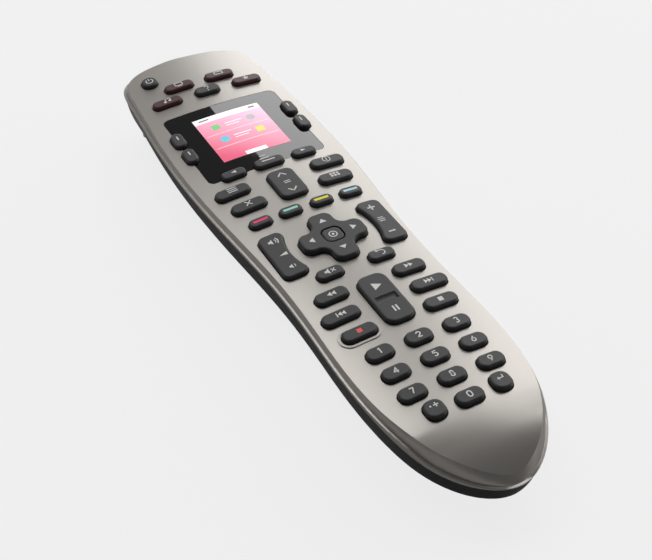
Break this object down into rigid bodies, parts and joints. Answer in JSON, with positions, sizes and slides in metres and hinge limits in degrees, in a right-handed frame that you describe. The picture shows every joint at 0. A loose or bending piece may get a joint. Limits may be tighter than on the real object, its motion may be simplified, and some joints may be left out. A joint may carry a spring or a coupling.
{
  "type": "universal remote control",
  "caption": "Slim handheld remote control with a crowned silver face, small colour screen, rocker keys, direction pad, number keys and a battery door in its black back.",
  "frame": {"origin": "on the resting plane, under the middle of the length and the width", "axes": "+Y towards the infra-red end, +Z out of the key side, +X to the right seen from the keys"},
  "size_m": [0.0622, 0.2401, 0.0275],
  "materials": {
    "silver_case": "satin champagne-silver paint on moulded plastic",
    "black_case": "satin black moulded plastic",
    "lens": "glossy, clear over the display and black round it",
    "display": "lit colour display behind glass",
    "board": "green solder mask",
    "mat": "translucent grey silicone",
    "ir_plastic": "dark red infra-red plastic",
    "steel": "plated steel",
    "battery_can": "printed foil sleeve",
    "key_dark": "satin dark grey with white symbols",
    "key_burgundy": "satin burgundy with white symbols",
    "key_pink": "satin dark grey key with a pink-red bar",
    "key_mint": "satin dark grey key with a mint bar",
    "key_yellow": "satin dark grey key with a yellow bar",
    "key_cyan": "satin dark grey key with a pale cyan bar"
  },
  "bodies": {
    "case": {"top_shell": "silver_case", "bottom_shell": "black_case", "screen_lens": "lens", "lcd_module": "display", "circuit_board": "board", "keypad_mat": "mat", "ir_window": "ir_plastic", "usb_socket": "steel", "batteries": "battery_can", "battery_contacts": "steel", "case_screws": "steel"},
    "activity_key_inner_left_body": {"activity_key_inner_left": "key_burgundy"},
    "activity_key_inner_right_body": {"activity_key_inner_right": "key_burgundy"},
    "activity_key_outer_left_body": {"activity_key_outer_left": "key_burgundy"},
    "activity_key_outer_right_body": {"activity_key_outer_right": "key_burgundy"},
    "arrow_key_left_body": {"arrow_key_left": "key_dark"},
    "arrow_key_right_body": {"arrow_key_right": "key_dark"},
    "back_key_body": {"back_key": "key_dark"},
    "bars_key_body": {"bars_key": "key_dark"},
    "blue_key_body": {"blue_key": "key_cyan"},
    "clear_key_body": {"clear_key": "key_dark"},
    "digit_0_key_body": {"digit_0_key": "key_dark"},
    "digit_1_key_body": {"digit_1_key": "key_dark"},
    "digit_2_key_body": {"digit_2_key": "key_dark"},
    "digit_3_key_body": {"digit_3_key": "key_dark"},
    "digit_4_key_body": {"digit_4_key": "key_dark"},
    "digit_5_key_body": {"digit_5_key": "key_dark"},
    "digit_6_key_body": {"digit_6_key": "key_dark"},
    "digit_7_key_body": {"digit_7_key": "key_dark"},
    "digit_8_key_body": {"digit_8_key": "key_dark"},
    "digit_9_key_body": {"digit_9_key": "key_dark"},
    "enter_key_body": {"enter_key": "key_dark"},
    "exit_key_body": {"exit_key": "key_dark"},
    "forward_key_body": {"forward_key": "key_dark"},
    "green_key_body": {"green_key": "key_mint"},
    "guide_key_body": {"guide_key": "key_dark"},
    "help_key_body": {"help_key": "key_dark"},
    "info_key_body": {"info_key": "key_dark"},
    "menu_key_body": {"menu_key": "key_dark"},
    "mute_key_body": {"mute_key": "key_dark"},
    "power_key_body": {"power_key": "key_dark"},
    "record_key_body": {"record_key": "key_dark"},
    "red_key_body": {"red_key": "key_pink"},
    "rewind_key_body": {"rewind_key": "key_dark"},
    "screen_key_lower_left_body": {"screen_key_lower_left": "key_dark"},
    "screen_key_lower_right_body": {"screen_key_lower_right": "key_dark"},
    "screen_key_upper_left_body": {"screen_key_upper_left": "key_dark"},
    "screen_key_upper_right_body": {"screen_key_upper_right": "key_dark"},
    "skip_back_key_body": {"skip_back_key": "key_dark"},
    "skip_forward_key_body": {"skip_forward_key": "key_dark"},
    "stop_key_body": {"stop_key": "key_dark"},
    "yellow_key_body": {"yellow_key": "key_yellow"},
    "ok_key_body": {"ok_key": "key_dark"},
    "page_rocker_body": {"page_rocker": "key_dark"},
    "play_rocker_body": {"play_rocker": "key_dark"},
    "volume_rocker_body": {"volume_rocker": "key_dark"},
    "channel_rocker_body": {"channel_rocker": "key_dark"},
    "pad_pivot_ring_body": {"pad_pivot_ring": "black_case"},
    "direction_pad_body": {"direction_pad": "key_dark"},
    "battery_door_body": {"battery_door": "black_case"}
  },
  "joints": [
    {"name": "activity_key_inner_left_press", "type": "slide", "parent": "case", "child": "activity_key_inner_left_body", "axis": [0, 0, -1], "range_m": [0, 0.0008], "stiffness_N_per_m": 400},
    {"name": "activity_key_inner_right_press", "type": "slide", "parent": "case", "child": "activity_key_inner_right_body", "axis": [0, 0, -1], "range_m": [0, 0.0008], "stiffness_N_per_m": 400},
    {"name": "activity_key_outer_left_press", "type": "slide", "parent": "case", "child": "activity_key_outer_left_body", "axis": [0, 0, -1], "range_m": [0, 0.0008], "stiffness_N_per_m": 400},
    {"name": "activity_key_outer_right_press", "type": "slide", "parent": "case", "child": "activity_key_outer_right_body", "axis": [0, 0, -1], "range_m": [0, 0.0008], "stiffness_N_per_m": 400},
    {"name": "arrow_key_left_press", "type": "slide", "parent": "case", "child": "arrow_key_left_body", "axis": [0, 0, -1], "range_m": [0, 0.0008], "stiffness_N_per_m": 400},
    {"name": "arrow_key_right_press", "type": "slide", "parent": "case", "child": "arrow_key_right_body", "axis": [0, 0, -1], "range_m": [0, 0.0008], "stiffness_N_per_m": 400},
    {"name": "back_key_press", "type": "slide", "parent": "case", "child": "back_key_body", "axis": [0, 0, -1], "range_m": [0, 0.0008], "stiffness_N_per_m": 400},
    {"name": "bars_key_press", "type": "slide", "parent": "case", "child": "bars_key_body", "axis": [0, 0, -1], "range_m": [0, 0.0008], "stiffness_N_per_m": 400},
    {"name": "blue_key_press", "type": "slide", "parent": "case", "child": "blue_key_body", "axis": [0, 0, -1], "range_m": [0, 0.0008], "stiffness_N_per_m": 400},
    {"name": "clear_key_press", "type": "slide", "parent": "case", "child": "clear_key_body", "axis": [0, 0, -1], "range_m": [0, 0.0008], "stiffness_N_per_m": 400},
    {"name": "digit_0_key_press", "type": "slide", "parent": "case", "child": "digit_0_key_body", "axis": [0, 0, -1], "range_m": [0, 0.0008], "stiffness_N_per_m": 400},
    {"name": "digit_1_key_press", "type": "slide", "parent": "case", "child": "digit_1_key_body", "axis": [0, 0, -1], "range_m": [0, 0.0008], "stiffness_N_per_m": 400},
    {"name": "digit_2_key_press", "type": "slide", "parent": "case", "child": "digit_2_key_body", "axis": [0, 0, -1], "range_m": [0, 0.0008], "stiffness_N_per_m": 400},
    {"name": "digit_3_key_press", "type": "slide", "parent": "case", "child": "digit_3_key_body", "axis": [0, 0, -1], "range_m": [0, 0.0008], "stiffness_N_per_m": 400},
    {"name": "digit_4_key_press", "type": "slide", "parent": "case", "child": "digit_4_key_body", "axis": [0, 0, -1], "range_m": [0, 0.0008], "stiffness_N_per_m": 400},
    {"name": "digit_5_key_press", "type": "slide", "parent": "case", "child": "digit_5_key_body", "axis": [0, 0, -1], "range_m": [0, 0.0008], "stiffness_N_per_m": 400},
    {"name": "digit_6_key_press", "type": "slide", "parent": "case", "child": "digit_6_key_body", "axis": [0, 0, -1], "range_m": [0, 0.0008], "stiffness_N_per_m": 400},
    {"name": "digit_7_key_press", "type": "slide", "parent": "case", "child": "digit_7_key_body", "axis": [0, 0, -1], "range_m": [0, 0.0008], "stiffness_N_per_m": 400},
    {"name": "digit_8_key_press", "type": "slide", "parent": "case", "child": "digit_8_key_body", "axis": [0, 0, -1], "range_m": [0, 0.0008], "stiffness_N_per_m": 400},
    {"name": "digit_9_key_press", "type": "slide", "parent": "case", "child": "digit_9_key_body", "axis": [0, 0, -1], "range_m": [0, 0.0008], "stiffness_N_per_m": 400},
    {"name": "enter_key_press", "type": "slide", "parent": "case", "child": "enter_key_body", "axis": [0, 0, -1], "range_m": [0, 0.0008], "stiffness_N_per_m": 400},
    {"name": "exit_key_press", "type": "slide", "parent": "case", "child": "exit_key_body", "axis": [0, 0, -1], "range_m": [0, 0.0008], "stiffness_N_per_m": 400},
    {"name": "forward_key_press", "type": "slide", "parent": "case", "child": "forward_key_body", "axis": [0, 0, -1], "range_m": [0, 0.0008], "stiffness_N_per_m": 400},
    {"name": "green_key_press", "type": "slide", "parent": "case", "child": "green_key_body", "axis": [0, 0, -1], "range_m": [0, 0.0008], "stiffness_N_per_m": 400},
    {"name": "guide_key_press", "type": "slide", "parent": "case", "child": "guide_key_body", "axis": [0, 0, -1], "range_m": [0, 0.0008], "stiffness_N_per_m": 400},
    {"name": "help_key_press", "type": "slide", "parent": "case", "child": "help_key_body", "axis": [0, 0, -1], "range_m": [0, 0.0008], "stiffness_N_per_m": 400},
    {"name": "info_key_press", "type": "slide", "parent": "case", "child": "info_key_body", "axis": [0, 0, -1], "range_m": [0, 0.0008], "stiffness_N_per_m": 400},
    {"name": "menu_key_press", "type": "slide", "parent": "case", "child": "menu_key_body", "axis": [0, 0, -1], "range_m": [0, 0.0008], "stiffness_N_per_m": 400},
    {"name": "mute_key_press", "type": "slide", "parent": "case", "child": "mute_key_body", "axis": [0, 0, -1], "range_m": [0, 0.0008], "stiffness_N_per_m": 400},
    {"name": "power_key_press", "type": "slide", "parent": "case", "child": "power_key_body", "axis": [0, 0, -1], "range_m": [0, 0.0008], "stiffness_N_per_m": 400},
    {"name": "record_key_press", "type": "slide", "parent": "case", "child": "record_key_body", "axis": [0, 0, -1], "range_m": [0, 0.0008], "stiffness_N_per_m": 400},
    {"name": "red_key_press", "type": "slide", "parent": "case", "child": "red_key_body", "axis": [0, 0, -1], "range_m": [0, 0.0008], "stiffness_N_per_m": 400},
    {"name": "rewind_key_press", "type": "slide", "parent": "case", "child": "rewind_key_body", "axis": [0, 0, -1], "range_m": [0, 0.0008], "stiffness_N_per_m": 400},
    {"name": "screen_key_lower_left_press", "type": "slide", "parent": "case", "child": "screen_key_lower_left_body", "axis": [0, 0, -1], "range_m": [0, 0.0008], "stiffness_N_per_m": 400},
    {"name": "screen_key_lower_right_press", "type": "slide", "parent": "case", "child": "screen_key_lower_right_body", "axis": [0, 0, -1], "range_m": [0, 0.0008], "stiffness_N_per_m": 400},
    {"name": "screen_key_upper_left_press", "type": "slide", "parent": "case", "child": "screen_key_upper_left_body", "axis": [0, 0, -1], "range_m": [0, 0.0008], "stiffness_N_per_m": 400},
    {"name": "screen_key_upper_right_press", "type": "slide", "parent": "case", "child": "screen_key_upper_right_body", "axis": [0, 0, -1], "range_m": [0, 0.0008], "stiffness_N_per_m": 400},
    {"name": "skip_back_key_press", "type": "slide", "parent": "case", "child": "skip_back_key_body", "axis": [0, 0, -1], "range_m": [0, 0.0008], "stiffness_N_per_m": 400},
    {"name": "skip_forward_key_press", "type": "slide", "parent": "case", "child": "skip_forward_key_body", "axis": [0, 0, -1], "range_m": [0, 0.0008], "stiffness_N_per_m": 400},
    {"name": "stop_key_press", "type": "slide", "parent": "case", "child": "stop_key_body", "axis": [0, 0, -1], "range_m": [0, 0.0008], "stiffness_N_per_m": 400},
    {"name": "yellow_key_press", "type": "slide", "parent": "case", "child": "yellow_key_body", "axis": [0, 0, -1], "range_m": [0, 0.0008], "stiffness_N_per_m": 400},
    {"name": "ok_key_press", "type": "slide", "parent": "case", "child": "ok_key_body", "axis": [0, 0, -1], "range_m": [0, 0.0008], "stiffness_N_per_m": 400},
    {"name": "page_rocker_tilt", "type": "hinge", "parent": "case", "child": "page_rocker_body", "pos_m": [0, 0.0222, 0.02035], "axis": [1, 0, 0], "range_deg": [-3, 3], "stiffness_Nm_per_rad": 0.05},
    {"name": "play_rocker_tilt", "type": "hinge", "parent": "case", "child": "play_rocker_body", "pos_m": [0, -0.0451, 0.02035], "axis": [1, 0, 0], "range_deg": [-2.2, 2.2], "stiffness_Nm_per_rad": 0.05},
    {"name": "volume_rocker_tilt", "type": "hinge", "parent": "case", "child": "volume_rocker_body", "pos_m": [-0.0188, -0.0109, 0.02035], "axis": [1, 0, 0], "range_deg": [-2.2, 2.2], "stiffness_Nm_per_rad": 0.05},
    {"name": "channel_rocker_tilt", "type": "hinge", "parent": "case", "child": "channel_rocker_body", "pos_m": [0.0188, -0.0109, 0.02035], "axis": [1, 0, 0], "range_deg": [-2.2, 2.2], "stiffness_Nm_per_rad": 0.05},
    {"name": "pad_tilt_up_down", "type": "hinge", "parent": "case", "child": "pad_pivot_ring_body", "pos_m": [0, -0.011, 0.02085], "axis": [1, 0, 0], "range_deg": [-2.2, 2.2], "stiffness_Nm_per_rad": 0.05},
    {"name": "pad_tilt_left_right", "type": "hinge", "parent": "pad_pivot_ring_body", "child": "direction_pad_body", "pos_m": [0, -0.011, 0.02085], "axis": [0, 1, 0], "range_deg": [-2.2, 2.2], "stiffness_Nm_per_rad": 0.05},
    {"name": "battery_door_hinge", "type": "hinge", "parent": "case", "child": "battery_door_body", "pos_m": [0, -0.09425, 0], "axis": [-1, 0, 0], "range_deg": [0, 50]}
  ]
}
